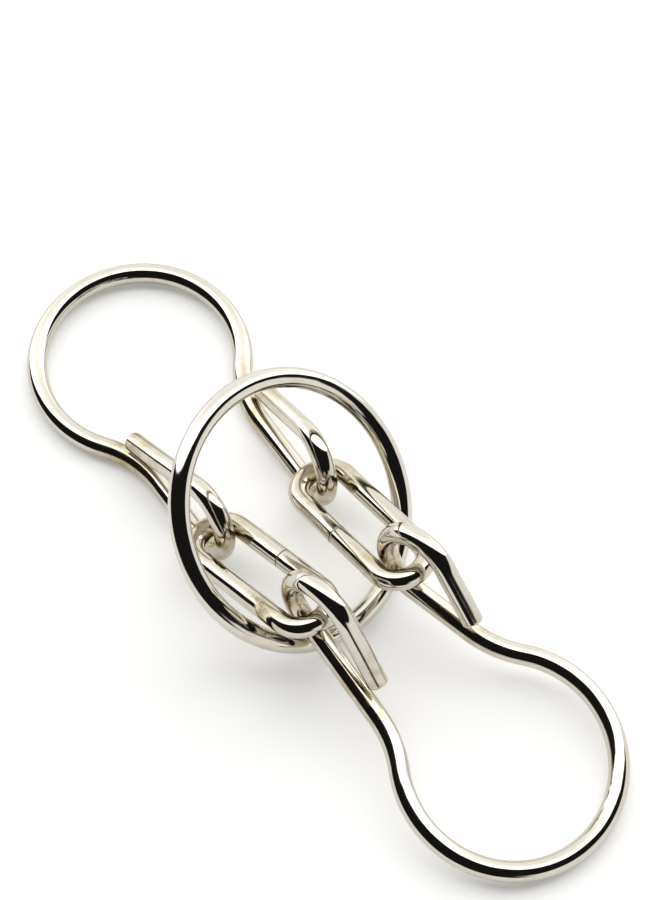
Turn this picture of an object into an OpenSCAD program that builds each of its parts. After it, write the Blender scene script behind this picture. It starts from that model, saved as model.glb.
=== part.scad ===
// Disentanglement puzzle bent from round wire: two horseshoes with eyes on
// their arms, two long links that join the eyes, and a captive ring.
// The puzzle lies on its back: Z is up and the surface below it is at Z = 0.
// X runs along horseshoe_b, whose bow is at +X. Its arms and the links point
// towards -X, where horseshoe_a carries on.

/* [Wire] */
// Diameter of the round wire that every piece is bent from
wire_d = 4; // [3:0.1:5]
// Bevel on each cut end of the wire
end_bevel = 0.4; // [0.1:0.1:0.8]
// Gap left between wires that rest on one another
rest_gap = 0.3; // [0.2:0.05:0.6]

/* [Horseshoes] */
// Bow radius, to the middle of the wire
bow_r = 20.2; // [17:0.2:26]
// Radius of the reverse bend at the neck, to the middle of the wire
neck_r = 21.2; // [14:0.2:30]
// Distance between the two arms where they leave the neck
throat = 23.6; // [22:0.2:28]
// How far each arm of horseshoe_a turns in towards the other, in degrees
draw_in_a = 0.4; // [0:0.1:3]
// How far each arm of horseshoe_b turns in towards the other, in degrees
draw_in_b = 8.8; // [7:0.1:10]
// Straight length of horseshoe_a's arm towards link_right
arm_a_right = 15.4; // [12:0.2:20]
// Straight length of horseshoe_a's arm towards link_left
arm_a_left = 13.8; // [10:0.2:18]
// Straight length of horseshoe_b's arm towards link_right
arm_b_right = 14.6; // [12:0.2:18]
// Straight length of horseshoe_b's arm towards link_left
arm_b_left = 20.2; // [17:0.2:24]

/* [Eyes] */
// How much wider horseshoe_a's eyes are inside than the wire they hold
eye_room_a = 6.1; // [5:0.1:7.5]
// How much wider horseshoe_b's eyes are inside than the wire they hold
eye_room_b = 6.9; // [5.8:0.1:8.4]
// Bend beyond half a turn, horseshoe_a's eye on link_right, in degrees
close_a_right = 31; // [26:1:34]
// Bend beyond half a turn, horseshoe_a's eye on link_left, in degrees
close_a_left = 27; // [22:1:30]
// Bend beyond half a turn, horseshoe_b's eye on link_right, in degrees
close_b_right = 35; // [30:1:38]
// Bend beyond half a turn, horseshoe_b's eye on link_left, in degrees
close_b_left = 41; // [36:1:44]
// Tail length beyond the bend, horseshoe_a's eye on link_right
tail_a_right = 17.8; // [14:0.2:19]
// Tail length beyond the bend, horseshoe_a's eye on link_left
tail_a_left = 18.4; // [16:0.2:21]
// Tail length beyond the bend, horseshoe_b's eye on link_right
tail_b_right = 12.2; // [11:0.2:16]
// Tail length beyond the bend, horseshoe_b's eye on link_left
tail_b_left = 14.6; // [11:0.2:15]
// Lean of horseshoe_a's eye on link_right, outwards, in degrees
lean_a_right = 8; // [4:0.5:12]
// Lean of horseshoe_a's eye on link_left, inwards, in degrees
lean_a_left = 9.5; // [5:0.5:13]
// Lean of horseshoe_b's eye on link_right, outwards, in degrees
lean_b_right = 10.5; // [6:0.5:14]
// Lean of horseshoe_b's eye on link_left, inwards, in degrees
lean_b_left = 5; // [1:0.5:8]

/* [Links] */
// Overall length of each link
link_len = 38.2; // [32:0.2:46]
// How much wider each link's slot is than the wire that runs through it
slot_room = 2; // [1.6:0.1:3]
// Width of the butt seam where each link's ends meet
seam_w = 0.25; // [0.1:0.05:0.5]
// Depth of the butt seam
seam_deep = 0.2; // [0.1:0.05:0.5]
// How far link_right's seam lies from mid-length, towards horseshoe_a
seam_at_right = 0.6; // [-5:0.2:5]
// How far link_left's seam lies from mid-length, towards horseshoe_a
seam_at_left = -1; // [-5:0.2:5]

/* [Ring] */
// Room on each side between the ring and the two links lying in it
ring_room = 5.7; // [5:0.1:8]
// Slope at which the ring leans back over horseshoe_a, in degrees
ring_lean = 40; // [36:0.5:44]

/* [Lie] */
// How far the ring props up the ends of horseshoe_b's arms
prop_room = 5.1; // [4.6:0.1:6.4]
// Turn of link_right from horseshoe_b's own line, in degrees
link_swing = -8; // [-10:0.5:-6]
// How far past their arm ends the links hang in horseshoe_a's eyes
seat_a = 1.7; // [1:0.1:2.2]
// How far past their arm ends the links hang in horseshoe_b's eyes
seat_b = -0.6; // [-1.2:0.1:0]
// How far the links are lifted off horseshoe_a's arms
lift_a = 1.1; // [0.8:0.1:1.6]
// How far the links are lifted off horseshoe_b's arms
lift_b = 2.6; // [2:0.1:3.2]
// Turn of the ring's slope from horseshoe_b's own line, in degrees
ring_turn = 15.6; // [12:0.1:19]
// How far the ring's low side reaches back past link_right's pivot
ring_back = 7; // [6:0.1:9]
// How far the ring's low side lies inwards of link_right's pivot
ring_in = 1.4; // [0:0.1:3]

/* [Hidden] */
$fn = 48;
steel = [0.78, 0.77, 0.75];
wire_r = wire_d / 2;
stack = wire_d + rest_gap;
// Each bend ends in a collar that ties it to the next piece of the wire
collar_step = 0.05;
collar_len = 0.2;
// The ring stands this far off the surface
ring_float = 0.08;
// Turn of each eye about the vertical, so that it faces along its link
skew_a_right = -8;
skew_a_left = 1;
skew_b_right = -7;
skew_b_left = 9;
left = 1;
right = -1;

eye_r_a = wire_d + eye_room_a / 2;
eye_r_b = wire_d + eye_room_b / 2;
link_w = 3 * wire_d + slot_room;
half_slot = (link_w - wire_d) / 2;
half_run = (link_len - link_w) / 2;
link_pitch = link_len - wire_d;
// Angle, from the line of the arms, at which the bow meets the neck bend
neck_turn = asin((throat / 2 + neck_r) / (bow_r + neck_r));

function spin(v, a) = [v[0] * cos(a) - v[1] * sin(a), v[0] * sin(a) + v[1] * cos(a)];
function flat(v) = [v[0], v[1]];

// End of a horseshoe's arm, from the middle of its bow, arms along +X
function arm_end(side, draw_in, len) = [
    (bow_r + neck_r) * cos(neck_turn) - neck_r * sin(draw_in) + len * cos(draw_in),
    side * (throat / 2 + neck_r - neck_r * cos(draw_in) - len * sin(draw_in))];
// Middle of the link end held in an eye, in the same flat frame
function held(side, draw_in, len, skew, seat) =
    arm_end(side, draw_in, len) + seat * [cos(skew - side * draw_in), sin(skew - side * draw_in)];

// horseshoe_b is raised about the far side of its bow, which stays down
reach_b = bow_r + arm_end(right, draw_in_b, arm_b_right)[0];
prop_b = asin((stack + prop_room) / reach_b);
up_b = stack + lift_b;
function from_b(v) = let (run = v[0] + bow_r) [
    -(run * cos(prop_b) - up_b * sin(prop_b)),
    -v[1],
    wire_r + run * sin(prop_b) + up_b * cos(prop_b)];
b_right = from_b(held(right, draw_in_b, arm_b_right, skew_b_right, seat_b));
b_left = from_b(held(left, draw_in_b, arm_b_left, skew_b_left, seat_b));

// horseshoe_a lies flat; the two links place it
up_a = wire_r + stack + lift_a;
a_held_right = held(left, draw_in_a, arm_a_right, skew_a_right, seat_a);
a_held_left = held(right, draw_in_a, arm_a_left, skew_a_left, seat_a);
plan_right = sqrt(pow(link_pitch, 2) - pow(b_right[2] - up_a, 2));
plan_left = sqrt(pow(link_pitch, 2) - pow(b_left[2] - up_a, 2));
a_right_xy = flat(b_right) + spin([-plan_right, 0], link_swing);
span_a = norm(a_held_right - a_held_left);
span_x = flat(b_left) - a_right_xy;
span = norm(span_x);
foot = (span_a * span_a - plan_left * plan_left + span * span) / (2 * span);
rise = sqrt(span_a * span_a - foot * foot);
a_left_xy = a_right_xy + foot * span_x / span + rise * [span_x[1], -span_x[0]] / span;
a_right = [a_right_xy[0], a_right_xy[1], up_a];
a_left = [a_left_xy[0], a_left_xy[1], up_a];
function heading(v) = atan2(v[1], v[0]);
turn_a = heading(a_right_xy - a_left_xy) - heading(a_held_right - a_held_left);
bow_a = a_right_xy - spin(a_held_right, turn_a);

// The ring goes round both links
ring_r = norm(flat(b_right) - flat(b_left)) / 2 + link_w / 2 + wire_r + ring_room;
ring_od = 2 * ring_r + wire_d;
ring_low = flat(b_right) - [ring_back, ring_in];
ring_xy = ring_low - spin([ring_r * cos(ring_lean), 0], ring_turn);
ring_z = wire_r + ring_float + ring_r * sin(ring_lean);

// The origin is under the middle of the whole puzzle
half_bow = bow_r + wire_r;
half_ring = wire_r + ring_r * sqrt(1 - pow(sin(ring_lean) * sin(ring_turn), 2));
x_end = wire_r;
x_start = bow_a[0] - half_bow;
y_end = max(bow_a[1] + half_bow, ring_xy[1] + half_ring, half_bow);
y_start = min(bow_a[1] - half_bow, ring_xy[1] - half_ring, -half_bow);
middle = [(x_start + x_end) / 2, (y_start + y_end) / 2, 0];

module collar() {
    rotate([90, 0, 0])
        cylinder(d = wire_d + 2 * collar_step, h = collar_len, center = true);
}

module bend(r, a) {
    rotate_extrude(angle = a)
        translate([r, 0])
            circle(d = wire_d);
}

module collared_bend(r, a) {
    bend(r, a);
    translate([r, 0, 0])
        collar();
    rotate([0, 0, a])
        translate([r, 0, 0])
            collar();
}

module rod(len) {
    rotate([-90, 0, 0])
        cylinder(d = wire_d, h = len);
}

module tail(len) {
    rotate([-90, 0, 0])
        rotate_extrude()
            polygon([
                [0, 0],
                [wire_r, 0],
                [wire_r, len - end_bevel],
                [wire_r - end_bevel, len],
                [0, len]]);
}

// The wire comes in along +Y at the bottom, turns up and back over itself
module eye(r, close, tail_len) {
    translate([0, 0, r])
        rotate([0, 90, 0]) {
            collared_bend(r, 180 + close);
            rotate([0, 0, 180 + close])
                translate([r, 0, 0])
                    tail(tail_len);
        }
}

module arm(side, draw_in, len, r, close, tail_len, lean, skew) {
    sweep = 90 - draw_in - neck_turn;
    mirror([0, side < 0 ? 1 : 0, 0])
        rotate([0, 0, neck_turn])
            translate([bow_r + neck_r, 0, 0])
                rotate([0, 0, 180]) {
                    collared_bend(neck_r, sweep);
                    rotate([0, 0, sweep])
                        translate([neck_r, 0, 0]) {
                            rod(len);
                            translate([0, len, 0])
                                rotate([0, 0, side * skew])
                                    rotate([0, lean, 0])
                                        eye(r, close, tail_len);
                        }
                }
}

module bow() {
    rotate([0, 0, neck_turn])
        bend(bow_r, 360 - 2 * neck_turn);
}

module link(place_from, place_to, seam_side, seam_at) {
    way = place_to - place_from;
    translate((place_from + place_to) / 2)
        rotate([0, -asin(way[2] / norm(way)), heading(way)])
            difference() {
                link_wire();
                translate([seam_at, seam_side * half_slot, 0])
                    rotate([0, 90, 0])
                        seam();
            }
}

module link_wire() {
    for (turn = [0, 180])
        rotate([0, 0, turn]) {
            translate([half_run, 0, 0])
                rotate([0, 0, -90])
                    bend(half_slot, 180);
            translate([-half_run, half_slot, 0])
                rotate([0, 90, 0])
                    cylinder(d = wire_d, h = 2 * half_run);
        }
}

module seam() {
    difference() {
        cylinder(r = wire_r + seam_deep, h = seam_w, center = true);
        cylinder(r = wire_r - seam_deep, h = 2 * seam_w, center = true);
    }
}

module horseshoe_b() {
    color(steel)
        translate([0, 0, wire_r] - middle)
            rotate([0, 0, 180])
                rotate([0, -prop_b, 0])
                    translate([bow_r, 0, 0]) {
                        bow();
                        arm(left, draw_in_b, arm_b_left, eye_r_b, close_b_left,
                            tail_b_left, lean_b_left, skew_b_left);
                        arm(right, draw_in_b, arm_b_right, eye_r_b, close_b_right,
                            tail_b_right, -lean_b_right, skew_b_right);
                    }
}

module link_right() {
    color(steel)
        translate(-middle)
            link(b_right, a_right, left, seam_at_right);
}

module link_left() {
    color(steel)
        translate(-middle)
            link(b_left, a_left, right, seam_at_left);
}

module horseshoe_a() {
    color(steel)
        translate([bow_a[0], bow_a[1], wire_r] - middle)
            rotate([0, 0, turn_a]) {
                bow();
                arm(left, draw_in_a, arm_a_right, eye_r_a, close_a_right,
                    tail_a_right, -lean_a_right, skew_a_right);
                arm(right, draw_in_a, arm_a_left, eye_r_a, close_a_left,
                    tail_a_left, lean_a_left, skew_a_left);
            }
}

module ring() {
    color(steel)
        translate([ring_xy[0], ring_xy[1], ring_z] - middle)
            rotate([0, ring_lean, ring_turn])
                rotate_extrude()
                    translate([ring_r, 0])
                        circle(d = wire_d);
}

horseshoe_b();
link_right();
link_left();
horseshoe_a();
ring();
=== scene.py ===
import bpy
import math
import numpy as np
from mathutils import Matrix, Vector


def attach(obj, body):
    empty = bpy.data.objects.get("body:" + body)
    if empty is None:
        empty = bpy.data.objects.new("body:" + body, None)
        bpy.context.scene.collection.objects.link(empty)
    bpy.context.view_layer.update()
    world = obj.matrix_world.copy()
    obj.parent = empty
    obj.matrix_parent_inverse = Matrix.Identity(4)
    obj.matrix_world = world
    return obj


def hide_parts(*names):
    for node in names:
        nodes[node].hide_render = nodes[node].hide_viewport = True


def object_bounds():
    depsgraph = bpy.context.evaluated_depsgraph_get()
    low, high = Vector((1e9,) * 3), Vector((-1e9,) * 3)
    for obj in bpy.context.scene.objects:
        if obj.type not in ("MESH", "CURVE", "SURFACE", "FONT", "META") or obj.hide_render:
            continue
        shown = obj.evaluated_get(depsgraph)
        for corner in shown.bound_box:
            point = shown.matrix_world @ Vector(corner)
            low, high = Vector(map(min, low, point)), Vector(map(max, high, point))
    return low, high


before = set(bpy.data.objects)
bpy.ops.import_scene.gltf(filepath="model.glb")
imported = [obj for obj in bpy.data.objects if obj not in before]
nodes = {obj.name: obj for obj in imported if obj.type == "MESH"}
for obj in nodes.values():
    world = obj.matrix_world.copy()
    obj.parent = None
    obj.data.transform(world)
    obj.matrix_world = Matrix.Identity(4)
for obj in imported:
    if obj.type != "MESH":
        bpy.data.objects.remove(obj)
cadLow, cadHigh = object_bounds()
mm = 0.001
print("frame loaded:", ", ".join(sorted(nodes)))

wire = {"radius": 2.0 * mm,      # the round wire that every piece is bent from
        "sides": 40,             # faces round the wire
        "step": 0.4 * mm,        # how finely a wire is followed
        "window": 0.35 * mm,     # length of skin that settles one step
        "reach": 0.9 * mm,       # how far off the line that skin may lie
        "soften": 0.7 * mm}      # bends run into straights over about this length
skin = {"flat": 0.99999,         # facings this alike belong to a flat cut end
        "apart": 0.2 * mm,       # spacing of the points that are laid on a triangle's edges
        "most": 199,             # points on one edge, at most
        "grid": 0.1 * mm,        # points closer than this count as one
        "around": 1.2 * mm,      # stretch of wire that gives the first heading
        "recess": 0.1 * mm}      # a seam's floor is at least this far under the skin
walk = {"most": 4000,            # steps, after which a walk is given up
        "least": 40,             # steps before a closed line may meet its start
        "turnBack": 3,           # steps from the end where the walk the other way starts
        "settled": 5,            # steps at an end that are laid again, straight
        "sight": 15,             # steps from an end that give its heading
        "capSearch": 6 * mm,     # how far ahead the cut face is looked for
        "capWidth": 1.1}         # its corners lie within this many wire radii


def skinOf(node):
    # corners and facings of the CAD wire's triangles, without its flat cut ends
    mesh = nodes[node].data
    places = np.zeros(len(mesh.vertices) * 3)
    mesh.vertices.foreach_get("co", places)
    places = places.reshape(-1, 3)
    corners = np.zeros(len(mesh.loops), int)
    mesh.loops.foreach_get("vertex_index", corners)
    corners = corners.reshape(-1, 3)
    facings = np.zeros(len(mesh.loops) * 3)
    mesh.corner_normals.foreach_get("vector", facings)
    facings = facings.reshape(-1, 3, 3)
    spread = np.minimum((facings[:, 0] * facings[:, 1]).sum(1), (facings[:, 1] * facings[:, 2]).sum(1))
    curved = spread < skin["flat"]
    return places, corners[curved], facings[curved]


def cloudOf(node):
    # skin moved inwards by the wire's radius lies on the wire's middle line
    places, corners, facings = skinOf(node)
    middles = places[corners] - wire["radius"] * facings
    cloud = []
    for a, b in ((0, 1), (1, 2), (2, 0)):
        ways = middles[:, b] - middles[:, a]
        lengths = np.linalg.norm(ways, axis=1)
        counts = np.ceil(lengths / skin["apart"]).clip(1, skin["most"])
        for count in range(1, skin["most"] + 1):
            chosen = counts == count
            for share in np.arange(count) / count if chosen.any() else ():
                cloud.append(middles[chosen, a] + share * ways[chosen])
    cloud = np.vstack(cloud)
    grid = np.round(cloud / skin["grid"]).astype(int)
    return places, cloud[np.unique(grid, axis=0, return_index=True)[1]]


def follow(cloud, place, heading, closed):
    # walks along the cloud from place until it ends or comes round again
    line = [place]
    while len(line) < walk["most"]:
        ahead = line[-1] + wire["step"] * heading
        near = cloud[np.abs(cloud - ahead).max(1) < wire["reach"]] - ahead
        along = near @ heading
        near = near[np.abs(along) < wire["window"]]
        if not len(near):
            break
        shift = near.mean(0)
        ahead = ahead + shift - (shift @ heading) * heading
        heading = (ahead - line[-1]) / np.linalg.norm(ahead - line[-1])
        line.append(ahead)
        if closed and len(line) > walk["least"] and np.linalg.norm(ahead - line[0]) < wire["step"]:
            break
    return np.array(line), heading


def softened(line, closed):
    # evens out the small steps that the walk leaves
    reach = int(3 * wire["soften"] / wire["step"]) + 1
    offsets = np.arange(-reach, reach + 1)
    weights = np.exp(-0.5 * (offsets * wire["step"] / wire["soften"]) ** 2)
    if closed:
        padded = np.vstack([line[-reach:], line, line[:reach]])
    else:
        before = line[0] + (line[0] - line[1]) * np.arange(reach, 0, -1)[:, None]
        after = line[-1] + (line[-1] - line[-2]) * np.arange(1, reach + 1)[:, None]
        padded = np.vstack([before, line, after])
    return sum(w * padded[i:i + len(line)] for i, w in enumerate(weights / weights.sum()))


def lineOf(node, closed):
    # the middle line of a node's wire, from its lowest place both ways
    places, cloud = cloudOf(node)
    start = cloud[np.argmin(cloud[:, 2])]
    near = cloud[np.linalg.norm(cloud - start, axis=1) < skin["around"]]
    heading = np.linalg.svd(near - near.mean(0))[2][0]
    line, heading = follow(cloud, near.mean(0), heading, closed)
    if not closed:
        line = follow(cloud, line[-walk["turnBack"]], -heading, closed)[0]
        line = trimmed(line, places)
    else:
        line = line[:-1]
    line = softened(line, closed)
    return rolledToSeam(line, places) if closed else line


def trimmed(line, places):
    # carries both ends on to the cut faces of the wire
    for turn in (0, 1):
        line = line[::-1]
        inner, outer = line[-walk["sight"] - 1], line[-walk["settled"] - 1]
        heading = (outer - inner) / np.linalg.norm(outer - inner)
        near = places[np.linalg.norm(places - outer, axis=1) < walk["capSearch"]]
        off = near - outer
        off = np.linalg.norm(off - (off @ heading)[:, None] * heading, axis=1)
        end = ((near[off < walk["capWidth"] * wire["radius"]] - outer) @ heading).max()
        steps = np.arange(wire["step"], end, wire["step"])
        more = outer + np.append(steps, end)[:, None] * heading
        line = np.vstack([line[:-walk["settled"]], more])
    return line


def rolledToSeam(line, places):
    # a closed piece starts at its butt seam, where the CAD wire is thinner
    depths = np.array([np.linalg.norm(line - p, axis=1).min() for p in places])
    inSeam = places[depths < wire["radius"] - skin["recess"]]
    if not len(inSeam):
        return line
    return np.roll(line, -int(np.argmin(np.linalg.norm(line - inSeam.mean(0), axis=1))), axis=0)


closedPieces = {"horseshoe_a": False, "horseshoe_b": False, "ring": True,
                "link_right": True, "link_left": True}
lines = {name: lineOf(name, closed) for name, closed in closedPieces.items()}
for name, line in lines.items():
    followed = np.linalg.norm(np.diff(line, axis=0), axis=1).sum()
    print(f"{name}: followed {followed / mm:.1f} mm of wire in {len(line)} steps")


def newTree(name, kind, inputs, outputs):
    tree = bpy.data.node_groups.new(name, kind)
    for direction, sockets in (("INPUT", inputs), ("OUTPUT", outputs)):
        for label, socketKind, value in sockets:
            socket = tree.interface.new_socket(label, in_out=direction, socket_type=socketKind)
            if value is not None:
                socket.default_value = value
    return tree


def add(tree, kind, values=None, **settings):
    # one node: settings are its own choices, values fill its input sockets or link them
    made = tree.nodes.new(kind)
    for key, value in settings.items():
        setattr(made, key, value)
    for key, value in (values or {}).items():
        if isinstance(value, bpy.types.NodeSocket):
            tree.links.new(value, made.inputs[key])
        else:
            made.inputs[key].default_value = value
    return made


def calc(tree, operation, *values, clamp=False):
    # one Math node
    made = add(tree, "ShaderNodeMath", dict(enumerate(values)), operation=operation, use_clamp=clamp)
    return made.outputs[0]


def ranged(tree, value, low, high, atLow=0.0, atHigh=1.0):
    # runs smoothly from atLow to atHigh as value goes from low to high
    made = add(tree, "ShaderNodeMapRange",
               {"Value": value, "From Min": low, "From Max": high, "To Min": atLow, "To Max": atHigh},
               interpolation_type="SMOOTHSTEP")
    return made.outputs[0]


def wireTree():
    # sweeps round wire along a line, with its ends bevelled and its length and side kept for the finish
    tree = newTree("sweptWire", "GeometryNodeTree",
                   [("Line", "NodeSocketGeometry", None), ("Wire Radius", "NodeSocketFloat", 0.002),
                    ("Sides", "NodeSocketInt", 40), ("Spacing", "NodeSocketFloat", 0.00015),
                    ("End Bevel", "NodeSocketFloat", 0.0004), ("Finish", "NodeSocketMaterial", None)],
                   [("Wire", "NodeSocketGeometry", None)])
    given = add(tree, "NodeGroupInput").outputs
    curve = add(tree, "GeometryNodeMeshToCurve", {"Mesh": given["Line"]}).outputs[0]
    curve = add(tree, "GeometryNodeCurveSplineType", {"Curve": curve}, spline_type="CATMULL_ROM").outputs[0]
    curve = add(tree, "GeometryNodeResampleCurve", {"Curve": curve, "Length": given["Spacing"]},
                mode="LENGTH").outputs[0]
    curve = add(tree, "GeometryNodeSetCurveNormal", {"Curve": curve}, mode="MINIMUM_TWIST").outputs[0]
    placed = add(tree, "GeometryNodeSplineParameter").outputs["Length"]
    whole = add(tree, "GeometryNodeSplineLength").outputs["Length"]
    toEnd = calc(tree, "MINIMUM", placed, calc(tree, "SUBTRACT", whole, placed))
    # a quarter round of the bevel's size at each end
    left = calc(tree, "SUBTRACT", 1.0, calc(tree, "DIVIDE", toEnd, given["End Bevel"]), clamp=True)
    rounding = calc(tree, "SQRT", calc(tree, "SUBTRACT", 1.0, calc(tree, "MULTIPLY", left, left)))
    lost = calc(tree, "MULTIPLY", given["End Bevel"], calc(tree, "SUBTRACT", 1.0, rounding))
    radius = calc(tree, "SUBTRACT", 1.0, calc(tree, "DIVIDE", lost, given["Wire Radius"]))
    for name, value in (("wireLength", placed), ("toEnd", toEnd)):
        curve = add(tree, "GeometryNodeStoreNamedAttribute",
                    {"Geometry": curve, "Name": name, "Value": value},
                    data_type="FLOAT", domain="POINT").outputs[0]
    section = add(tree, "GeometryNodeCurvePrimitiveCircle",
                  {"Resolution": given["Sides"], "Radius": given["Wire Radius"]}, mode="RADIUS").outputs[0]
    side = add(tree, "ShaderNodeVectorMath", {0: add(tree, "GeometryNodeInputPosition").outputs[0]},
               operation="NORMALIZE").outputs[0]
    section = add(tree, "GeometryNodeStoreNamedAttribute",
                  {"Geometry": section, "Name": "wireSide", "Value": side},
                  data_type="FLOAT_VECTOR", domain="POINT").outputs[0]
    swept = add(tree, "GeometryNodeCurveToMesh",
                {"Curve": curve, "Profile Curve": section, "Scale": radius, "Fill Caps": True}).outputs[0]
    # only the two end caps have more than four corners, and they stay flat
    corners = add(tree, "GeometryNodeInputMeshFaceNeighbors").outputs["Vertex Count"]
    cap = add(tree, "FunctionNodeCompare", {"A": corners, "B": 4},
              data_type="INT", operation="GREATER_THAN").outputs[0]
    smooth = add(tree, "FunctionNodeBooleanMath", {0: cap}, operation="NOT").outputs[0]
    swept = add(tree, "GeometryNodeSetShadeSmooth", {"Geometry": swept, "Shade Smooth": smooth},
                domain="FACE").outputs[0]
    swept = add(tree, "GeometryNodeRealizeInstances", {"Geometry": swept}).outputs[0]
    swept = add(tree, "GeometryNodeSetMaterial", {"Geometry": swept, "Material": given["Finish"]}).outputs[0]
    add(tree, "NodeGroupOutput", {"Wire": swept})
    return tree


drawnLines = {"along": 160.0, "turns": 9.0, "detail": 4.0, "from": 0.45, "to": 0.8,
              "rough": 0.05, "height": 0.05}
waves = {"along": 110.0, "turns": 0.9, "detail": 1.0}
hairlines = {"ways": ((0.6, 520.0), (-0.9, 430.0)), "tip": 0.4, "twist": 2.0, "stretch": (1.0, 0.06, 0.35),
             "width": 0.035, "patches": 90.0, "patchFrom": 0.46, "patchTo": 0.66,
             "rough": 0.12, "height": 0.06}
# grain and clouds of the tarnish; the grain also breaks up the painted shade laid where wires come close
tarnishAndShadeFilm = {"grain": 420.0, "detail": 4.0, "from": 0.25, "to": 0.75, "rough": 0.16,
        "clouds": 240.0, "cloudDetail": 3.0, "cloudFrom": 0.5, "cloudTo": 0.8, "cloudShare": 0.12}
seam = {"outer": 0.22 * mm, "inner": 0.04 * mm, "rough": 0.3, "height": 0.3, "stain": (0.09, 0.075, 0.055, 1),
        "gripAt": 4.2 * mm, "gripOuter": 0.3 * mm, "gripInner": 0.1 * mm,    # the small mark beside it
        "gripFrom": 0.55, "gripTo": 0.9, "gripShare": 0.7}


def plateTree():
    # handled nickel plate: drawn lines along the wire, hairline scratches, tarnish where wires rub, and
    # painted shade where wires come close or one run of wire lies near another
    tree = newTree("plateWear", "ShaderNodeTree",
                   [("Clean", "NodeSocketColor", (0.8, 0.78, 0.74, 1)),
                    ("Tarnish And Shade", "NodeSocketColor", (0.6, 0.5, 0.34, 1)),
                    ("Tarnish And Shade Amount", "NodeSocketFloat", 0.6), ("Gloss", "NodeSocketFloat", 0.07),
                    ("Scratches", "NodeSocketFloat", 0.5), ("Seam Stain", "NodeSocketFloat", 0.0)],
                   [("Color", "NodeSocketColor", None), ("Roughness", "NodeSocketFloat", None),
                    ("Height", "NodeSocketFloat", None)])
    given = add(tree, "NodeGroupInput").outputs
    place = add(tree, "ShaderNodeTexCoord").outputs["Object"]

    def attribute(name, output):
        made = add(tree, "ShaderNodeAttribute", attribute_name=name, attribute_type="GEOMETRY")
        return made.outputs[output]

    def noise(vector, scale, detail=2.0):
        made = add(tree, "ShaderNodeTexNoise", {"Vector": vector, "Scale": scale, "Detail": detail})
        return made.outputs["Fac"]

    def times(first, second):
        return calc(tree, "MULTIPLY", first, second)

    def mixed(share, first, second):
        made = add(tree, "ShaderNodeMix", {0: share, 6: first, 7: second}, data_type="RGBA")
        return made.outputs[2]

    side = add(tree, "ShaderNodeSeparateXYZ", {0: attribute("wireSide", "Vector")}).outputs
    length = attribute("wireLength", "Fac")

    def streaks(kind):
        # noise drawn out along the wire
        made = add(tree, "ShaderNodeCombineXYZ", {0: times(length, kind["along"]),
                                                  1: times(side["X"], kind["turns"]),
                                                  2: times(side["Y"], kind["turns"])})
        return noise(made.outputs[0], 1.0, kind["detail"])

    drawn = streaks(drawnLines)
    hairs = []
    for turn, scale in hairlines["ways"]:
        slanted = add(tree, "ShaderNodeMapping",
                      {"Vector": place, "Rotation": (turn, hairlines["tip"], turn * hairlines["twist"]),
                       "Scale": hairlines["stretch"]})
        cells = add(tree, "ShaderNodeTexVoronoi", {"Vector": slanted.outputs[0], "Scale": scale},
                    feature="DISTANCE_TO_EDGE")
        hairs.append(ranged(tree, cells.outputs["Distance"], hairlines["width"], 0.0))
    patches = ranged(tree, noise(place, hairlines["patches"]), hairlines["patchFrom"], hairlines["patchTo"])
    hair = times(times(calc(tree, "MAXIMUM", *hairs), patches), given["Scratches"])
    cloudy = noise(place, tarnishAndShadeFilm["clouds"], tarnishAndShadeFilm["cloudDetail"])
    grain = ranged(tree, noise(place, tarnishAndShadeFilm["grain"], tarnishAndShadeFilm["detail"]), tarnishAndShadeFilm["from"], tarnishAndShadeFilm["to"])
    # painted shade: the near-wire mask browns and dulls the plate where other wire or another run of the same
    # wire comes close, partly real rub tarnish and partly painted shade
    tarnishAndShade = times(times(attribute("rubAndPaintedShade", "Fac"), grain), given["Tarnish And Shade Amount"])
    cloudy = times(ranged(tree, cloudy, tarnishAndShadeFilm["cloudFrom"], tarnishAndShadeFilm["cloudTo"]), tarnishAndShadeFilm["cloudShare"])
    tarnishAndShade = calc(tree, "ADD", tarnishAndShade, cloudy, clamp=True)
    # solder and polish left in the butt seam, and the grip mark beside it
    toEnd = attribute("toEnd", "Fac")
    stain = times(ranged(tree, toEnd, seam["outer"], seam["inner"]), given["Seam Stain"])
    offGrip = calc(tree, "ABSOLUTE", calc(tree, "SUBTRACT", length, seam["gripAt"]))
    gripped = ranged(tree, offGrip, seam["gripOuter"], seam["gripInner"])
    gripped = times(gripped, ranged(tree, side["X"], seam["gripFrom"], seam["gripTo"]))
    gripped = times(gripped, given["Seam Stain"])
    stain = calc(tree, "MAXIMUM", stain, times(gripped, seam["gripShare"]))
    # the colour: the tarnish and painted shade mixed over the clean plate, then the seam stain
    colour = mixed(stain, mixed(tarnishAndShade, given["Clean"], given["Tarnish And Shade"]), seam["stain"])
    lined = ranged(tree, drawn, drawnLines["from"], drawnLines["to"])
    rough = calc(tree, "ADD", given["Gloss"], times(lined, drawnLines["rough"]))
    rough = calc(tree, "ADD", rough, times(hair, hairlines["rough"]))
    rough = calc(tree, "ADD", rough, times(tarnishAndShade, tarnishAndShadeFilm["rough"]))
    rough = calc(tree, "ADD", rough, times(stain, seam["rough"]), clamp=True)
    height = calc(tree, "ADD", streaks(waves), times(drawn, drawnLines["height"]))
    height = calc(tree, "SUBTRACT", height, times(hair, hairlines["height"]))
    height = calc(tree, "SUBTRACT", height, times(stain, seam["height"]))
    add(tree, "NodeGroupOutput", {"Color": colour, "Roughness": rough, "Height": height})
    return tree


plateWear = plateTree()


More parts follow.
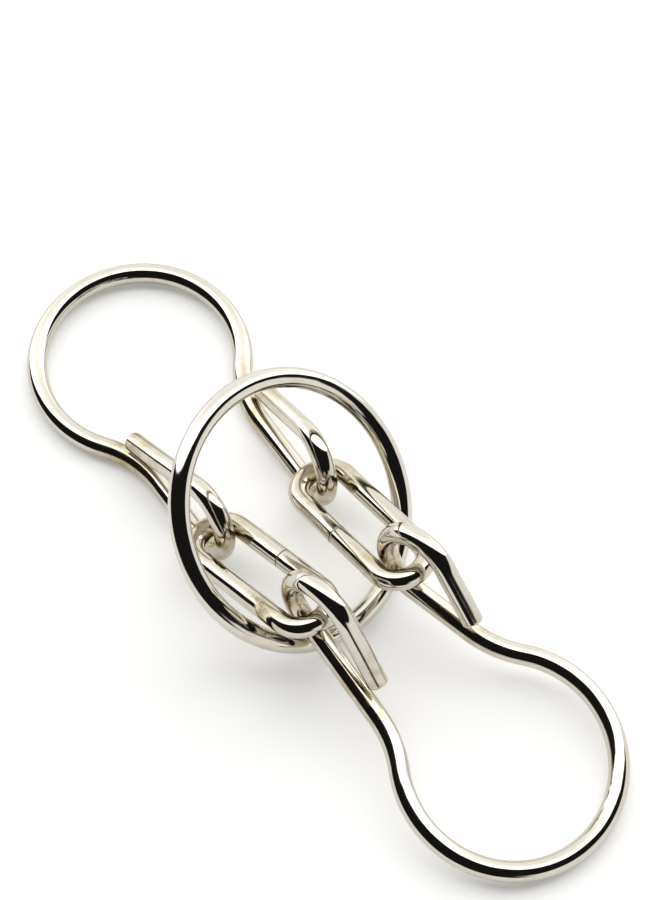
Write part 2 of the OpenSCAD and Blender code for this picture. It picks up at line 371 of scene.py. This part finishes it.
def plated(name, finish):
    # one piece's plate: the shared wear with its own values
    material = bpy.data.materials.new(name)
    material.use_nodes = True
    tree = material.node_tree
    tree.nodes.clear()
    wear = tree.nodes.new("ShaderNodeGroup")
    wear.node_tree = plateWear
    for key, value in finish.items():
        if key in wear.inputs:
            wear.inputs[key].default_value = value
    bump = add(tree, "ShaderNodeBump",
               {"Height": wear.outputs["Height"], "Distance": finish["waviness"], "Strength": 1.0})
    metal = add(tree, "ShaderNodeBsdfPrincipled",
                {"Base Color": wear.outputs["Color"], "Metallic": 1.0,
                 "Roughness": wear.outputs["Roughness"], "Normal": bump.outputs["Normal"]})
    add(tree, "ShaderNodeOutputMaterial", {"Surface": metal.outputs[0]})
    return material


# Tarnish: the brown of rub tarnish and of the painted shade where wires come close
horseshoeFinish = {"Clean": (0.60, 0.565, 0.50, 1), "Tarnish And Shade": (0.36, 0.27, 0.11, 1), "Tarnish And Shade Amount": 0.9,
                   "Gloss": 0.06, "Scratches": 0.5, "waviness": 0.035 * mm}
linkFinish = {"Clean": (0.58, 0.545, 0.475, 1), "Tarnish And Shade": (0.40, 0.31, 0.15, 1), "Tarnish And Shade Amount": 0.6,
              "Gloss": 0.07, "Scratches": 0.7, "Seam Stain": 1.0, "waviness": 0.05 * mm}
ringFinish = {"Clean": (0.62, 0.59, 0.53, 1), "Tarnish And Shade": (0.46, 0.37, 0.21, 1), "Tarnish And Shade Amount": 0.5,
              "Gloss": 0.05, "Scratches": 0.4, "waviness": 0.03 * mm}
horseshoePlate = plated("horseshoePlate", horseshoeFinish)
linkPlate = plated("linkPlate", linkFinish)
ringPlate = plated("ringPlate", ringFinish)
print("finishes made")

horseshoeA = {"node": "horseshoe_a", "finish": horseshoePlate, "spacing": 0.16 * mm, "bevel": 0.4 * mm}
horseshoeB = {"node": "horseshoe_b", "finish": horseshoePlate, "spacing": 0.16 * mm, "bevel": 0.4 * mm}
linkRight = {"node": "link_right", "finish": linkPlate, "spacing": 0.06 * mm, "bevel": 0.12 * mm}
linkLeft = {"node": "link_left", "finish": linkPlate, "spacing": 0.06 * mm, "bevel": 0.12 * mm}
ringOfWire = {"node": "ring", "finish": ringPlate, "spacing": 0.2 * mm, "bevel": 0.01 * mm}
# painted shade: these distances set where the plate is browned near other wire, partly rub tarnish and partly
# painted shade, and near another run of its own wire, which is painted shade only
rubAndShadeReach = {"within": 7.5 * mm, "full": 4.4 * mm,    # between the middles of two pieces' wires
           "shade": 10.5 * mm, "own": 0.9,          # between two runs of one piece's wire, and its share
           "apart": 14.0 * mm}                      # how far along the wire those two runs are
sweptWire = wireTree()


def rubAndPaintedShade(name):
    # how close other wire, or another run of this wire, comes along this one, from 0 to 1: the plate there is
    # dull and brown, partly tarnish where wires rub and partly painted shade where wire lies near wire
    line = lines[name]
    others = np.vstack([other for key, other in lines.items() if key != name])
    skipped = int(rubAndShadeReach["apart"] / wire["step"])
    near = []
    for i, place in enumerate(line):
        gap = np.linalg.norm(others - place, axis=1).min()
        close = (rubAndShadeReach["within"] - gap) / (rubAndShadeReach["within"] - rubAndShadeReach["full"])
        far = np.abs(np.arange(len(line)) - i)
        far = np.minimum(far, len(line) - far) if closedPieces[name] else far
        # painted shade: another run of this piece's own wire lying near browns the plate here, as if shaded
        # by it
        own = line[far > skipped]
        gap = np.linalg.norm(own - place, axis=1).min()
        shaded = (rubAndShadeReach["shade"] - gap) / (rubAndShadeReach["shade"] - rubAndShadeReach["full"])
        near.append(max(close, rubAndShadeReach["own"] * shaded))
    return np.array(near).clip(0, 1)


def bent(piece):
    # the wire swept along its own line, in place of the CAD node
    name, line = piece["node"], lines[piece["node"]]
    count = len(line)
    edges = [(i, i + 1) for i in range(count - 1)]
    if closedPieces[name]:
        edges.append((count - 1, 0))
    mesh = bpy.data.meshes.new(name + "Line")
    mesh.from_pydata([tuple(p) for p in line], edges, [])
    # the near-wire mask, partly rub tarnish and partly painted shade, kept on the line for the plate's colour
    rub = mesh.attributes.new("rubAndPaintedShade", "FLOAT", "POINT")
    rub.data.foreach_set("value", rubAndPaintedShade(name).astype(np.float32))
    made = bpy.data.objects.new(name + "Wire", mesh)
    bpy.context.scene.collection.objects.link(made)
    sweep = made.modifiers.new("sweep", "NODES")
    sweep.node_group = sweptWire
    wanted = {"Wire Radius": wire["radius"], "Sides": wire["sides"], "Spacing": piece["spacing"],
              "End Bevel": piece["bevel"], "Finish": piece["finish"]}
    for socket in sweptWire.interface.items_tree:
        if socket.item_type == "SOCKET" and socket.name in wanted:
            sweep[socket.identifier] = wanted[socket.name]
    bpy.context.view_layer.update()
    evaluated = made.evaluated_get(bpy.context.evaluated_depsgraph_get())
    whole = bpy.data.meshes.new_from_object(evaluated)
    made.modifiers.clear()
    made.data = whole
    whole.name = name + "Wire"
    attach(made, name)
    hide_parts(name)
    print(f"{made.name}: {len(whole.polygons)} faces")


for piece in (horseshoeA, horseshoeB, linkRight, linkLeft, ringOfWire):
    bent(piece)

floor = {"size": 4.0, "tone": (0.93, 0.93, 0.925, 1), "glow": 0.26, "drop": 0.06 * mm,
         "roughness": 0.9, "shine": 0.1}
sky = {"lean": 1.96, "opens": 0.92, "clear": 1.04, "far": 2.2,           # the white roof and where it starts
       "bright": 2.9, "over": 1.35,                                      # its light, at the edge and overhead
       "sillTop": 0.36, "sill": 0.28, "sillFrom": 0.2, "sillTo": 0.5,    # a white sill, low on the right
       "low": 1.15,                                                      # its light
       "dark": 0.012, "tint": (1, 0.995, 0.98, 1), "backdrop": 1.02}
camera = {"turn": 45.35, "raise": 62.2, "distance": 0.4935, "lens": 106.0,
          "aim": (-8.3 * mm, 12.1 * mm, 0.0),    # from the middle of the CAD box
          "nearest": 0.01, "farthest": 20.0}


def makeFloor():
    half = floor["size"] / 2
    corners = ((-half, -half), (half, -half), (half, half), (-half, half))
    mesh = bpy.data.meshes.new("floor")
    mesh.from_pydata([(x, y, -floor["drop"]) for x, y in corners], [], [(0, 1, 2, 3)])
    made = bpy.data.objects.new("floor", mesh)
    bpy.context.scene.collection.objects.link(made)
    material = bpy.data.materials.new("paleFloor")
    material.use_nodes = True
    surface = material.node_tree.nodes["Principled BSDF"].inputs
    surface["Base Color"].default_value = floor["tone"]
    surface["Roughness"].default_value = floor["roughness"]
    surface["Specular IOR Level"].default_value = floor["shine"]
    surface["Emission Color"].default_value = floor["tone"]
    surface["Emission Strength"].default_value = floor["glow"]
    mesh.materials.append(material)


def makeTent():
    # a white light tent, open and dark low down on the side that the camera looks from
    world = bpy.data.worlds.new("tent")
    bpy.context.scene.world = world
    world.use_nodes = True
    tree = world.node_tree
    tree.nodes.clear()
    way = add(tree, "ShaderNodeTexCoord").outputs["Generated"]
    turn = math.radians(camera["turn"])
    towards = (math.sin(turn), -math.cos(turn), 0.0)
    near = add(tree, "ShaderNodeVectorMath", {0: way, 1: towards},
               operation="DOT_PRODUCT").outputs["Value"]
    height = add(tree, "ShaderNodeSeparateXYZ", {0: way}).outputs["Z"]
    slope = calc(tree, "SUBTRACT", height, calc(tree, "MULTIPLY", near, sky["lean"]))
    roof = ranged(tree, slope, sky["opens"], sky["clear"])
    glow = ranged(tree, slope, sky["clear"], sky["far"], sky["bright"], sky["over"])
    right = (math.cos(turn), math.sin(turn), 0.0)
    across = add(tree, "ShaderNodeVectorMath", {0: way, 1: right},
                 operation="DOT_PRODUCT").outputs["Value"]
    sill = ranged(tree, height, sky["sillTop"], sky["sill"], 0.0, sky["low"])
    sill = calc(tree, "MULTIPLY", sill, ranged(tree, across, sky["sillFrom"], sky["sillTo"]))
    level = calc(tree, "MAXIMUM", calc(tree, "MULTIPLY", roof, glow), sill)
    level = calc(tree, "MAXIMUM", level, sky["dark"])
    seen = add(tree, "ShaderNodeLightPath").outputs["Is Camera Ray"]
    tent = add(tree, "ShaderNodeBackground", {"Color": sky["tint"], "Strength": level})
    plain = add(tree, "ShaderNodeBackground", {"Color": (1, 1, 1, 1), "Strength": sky["backdrop"]})
    mixed = add(tree, "ShaderNodeMixShader", {0: seen, 1: tent.outputs[0], 2: plain.outputs[0]})
    add(tree, "ShaderNodeOutputWorld", {"Surface": mixed.outputs[0]})


def makeCamera():
    data = bpy.data.cameras.new("camera")
    data.lens = camera["lens"]
    made = bpy.data.objects.new("camera", data)
    bpy.context.scene.collection.objects.link(made)
    turn, rise = math.radians(camera["turn"]), math.radians(camera["raise"])
    back = Vector((math.sin(turn) * math.cos(rise), -math.cos(turn) * math.cos(rise), math.sin(rise)))
    aim = (cadLow + cadHigh) / 2 + Vector(camera["aim"])
    made.location = aim + back * camera["distance"]
    made.rotation_mode = "QUATERNION"
    made.rotation_quaternion = (-back).to_track_quat("-Z", "Y")
    data.clip_start, data.clip_end = camera["nearest"], camera["farthest"]
    bpy.context.scene.camera = made


makeFloor()
makeTent()
makeCamera()
bpy.context.scene.view_settings.view_transform = "Standard"
print("floor, light and camera set")
